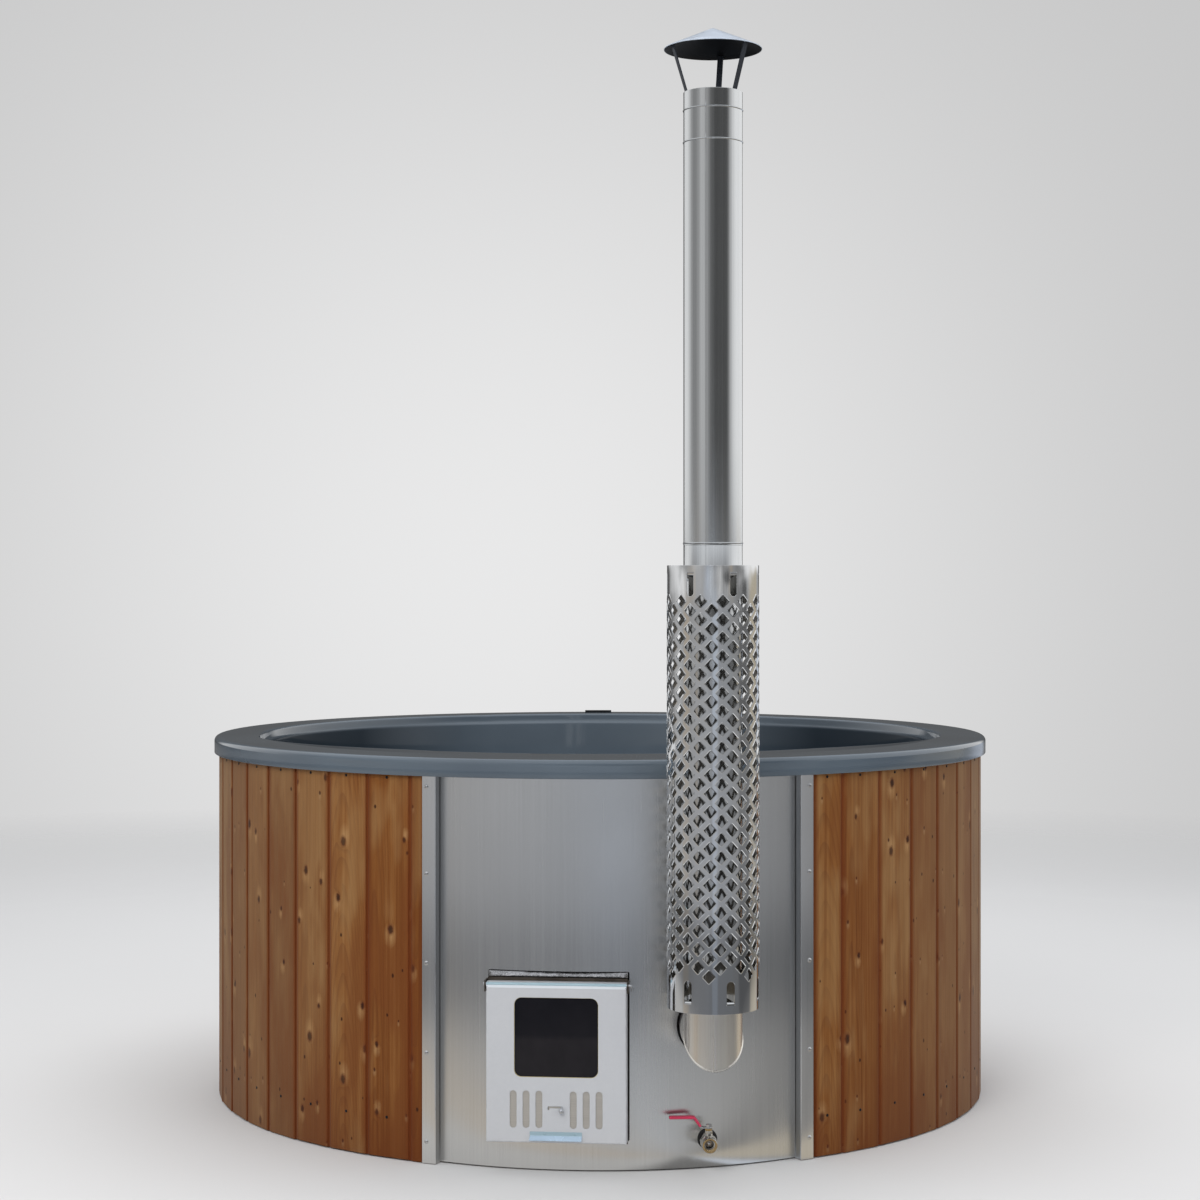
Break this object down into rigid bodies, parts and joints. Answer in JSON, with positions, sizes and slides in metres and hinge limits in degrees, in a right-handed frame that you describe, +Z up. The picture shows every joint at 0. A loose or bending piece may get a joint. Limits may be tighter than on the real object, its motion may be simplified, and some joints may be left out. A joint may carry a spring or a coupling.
{
  "type": "wood-fired hot tub",
  "caption": "Round wood-clad hot tub with a grey moulded liner, steel front panel, glazed stove door, drain valve and tall flue with a perforated guard and rain cap.",
  "frame": {"origin": "on the ground, under the centre of the round tub, at the underside of its middle joist", "axes": "+Z up; -Y towards the steel front panel and stove door; +X to the right as seen from the front"},
  "size_m": [2.024, 2.2395, 2.541],
  "materials": {
    "timber_frame": "rough-sawn softwood",
    "plywood": "plain plywood",
    "cladding_wood": "oiled reddish-brown knotty softwood boards",
    "post_wood": "stained softwood",
    "liner_gelcoat": "glossy slate-grey gelcoat",
    "nail_black": "blackened steel",
    "panel_steel": "vertically brushed stainless sheet",
    "trim_steel": "brushed stainless strip",
    "screw_steel": "bright stainless",
    "stove_steel": "plain welded steel plate",
    "cast_iron": "cast grate",
    "mineral_wool": "mineral wool mat",
    "foil_wool": "foil-faced mineral wool",
    "frame_steel": "heat-tinted steel",
    "rod_steel": "bright bent rod",
    "door_steel": "matt galvanised sheet",
    "door_glass": "dark heat-resistant glass",
    "seal_black": "heat-resistant seal",
    "handle_steel": "folded sheet under a pale blue film",
    "damper_steel": "warm grey sheet",
    "hose_rubber": "black hose",
    "fitting_plastic": "white plastic fitting",
    "pipe_plastic": "grey pipe",
    "grommet_black": "black grommet",
    "valve_nickel": "nickel-plated brass",
    "valve_brass": "bare brass",
    "lever_steel": "plated strip",
    "lever_red": "dipped red sleeve",
    "flue_steel": "polished stainless",
    "elbow_steel": "satin stainless",
    "guard_steel": "mirror-polished stainless",
    "leg_steel": "dark strap",
    "cap_steel": "dark-coated sheet",
    "clip_black": "black clip"
  },
  "bodies": {
    "tub": {"base_joists": "timber_frame", "floor_boards": "plywood", "heater_bearers": "timber_frame", "lower_ring": "timber_frame", "upper_ring": "timber_frame", "studs": "timber_frame", "bench_posts": "timber_frame", "front_posts": "post_wood", "liner": "liner_gelcoat", "cladding_front_left": "cladding_wood", "cladding_rear_left": "cladding_wood", "cladding_rear_right": "cladding_wood", "cladding_front_right": "cladding_wood", "cladding_nails": "nail_black", "front_panel": "panel_steel", "left_trim": "trim_steel", "right_trim": "trim_steel", "trim_screws": "screw_steel", "water_jacket": "stove_steel", "firebox": "stove_steel", "baffle_plate": "stove_steel", "fire_grate": "cast_iron", "heater_mat": "mineral_wool", "door_frame": "frame_steel", "collar_insulation": "foil_wool", "hinge_rod": "rod_steel", "water_hoses": "hose_rubber", "hose_clamps": "screw_steel", "wall_fittings": "fitting_plastic", "fitting_nuts": "fitting_plastic", "water_grilles": "fitting_plastic", "drain_flange": "fitting_plastic", "drain_elbow": "pipe_plastic", "drain_pipe": "valve_nickel", "panel_grommet": "grommet_black", "valve_body": "valve_nickel", "gland_nut": "valve_brass", "smoke_stub": "flue_steel", "smoke_elbow": "elbow_steel", "lower_flue": "flue_steel", "upper_flue": "flue_steel", "heat_guard": "guard_steel", "cap_legs": "leg_steel", "rain_cap": "cap_steel", "rim_clip": "clip_black"},
    "door": {"door_shell": "door_steel", "door_glass": "door_glass", "glass_gasket": "seal_black", "glass_clips": "door_steel", "clip_screws": "screw_steel", "door_seal": "seal_black", "door_handle": "handle_steel", "damper_guides": "door_steel"},
    "damper": {"damper_plate": "damper_steel", "damper_knob": "rod_steel"},
    "valve_handle": {"valve_lever": "lever_steel", "lever_sleeve": "lever_red", "valve_stem": "screw_steel", "valve_ball": "screw_steel", "lever_nut": "screw_steel"}
  },
  "joints": [
    {"name": "door_flap", "type": "hinge", "parent": "tub", "child": "door", "pos_m": [-0.14566, -1.01712, 0.4245], "axis": [-0.9899, 0.1418, 0], "range_deg": [0, 178]},
    {"name": "damper_slide", "type": "slide", "parent": "door", "child": "damper", "axis": [-0.9899, 0.1418, 0], "range_m": [0, 0.0145]},
    {"name": "valve_turn", "type": "hinge", "parent": "tub", "child": "valve_handle", "pos_m": [0.196, -1.014, 0.068], "axis": [0, 0, 1], "range_deg": [0, 90]}
  ]
}
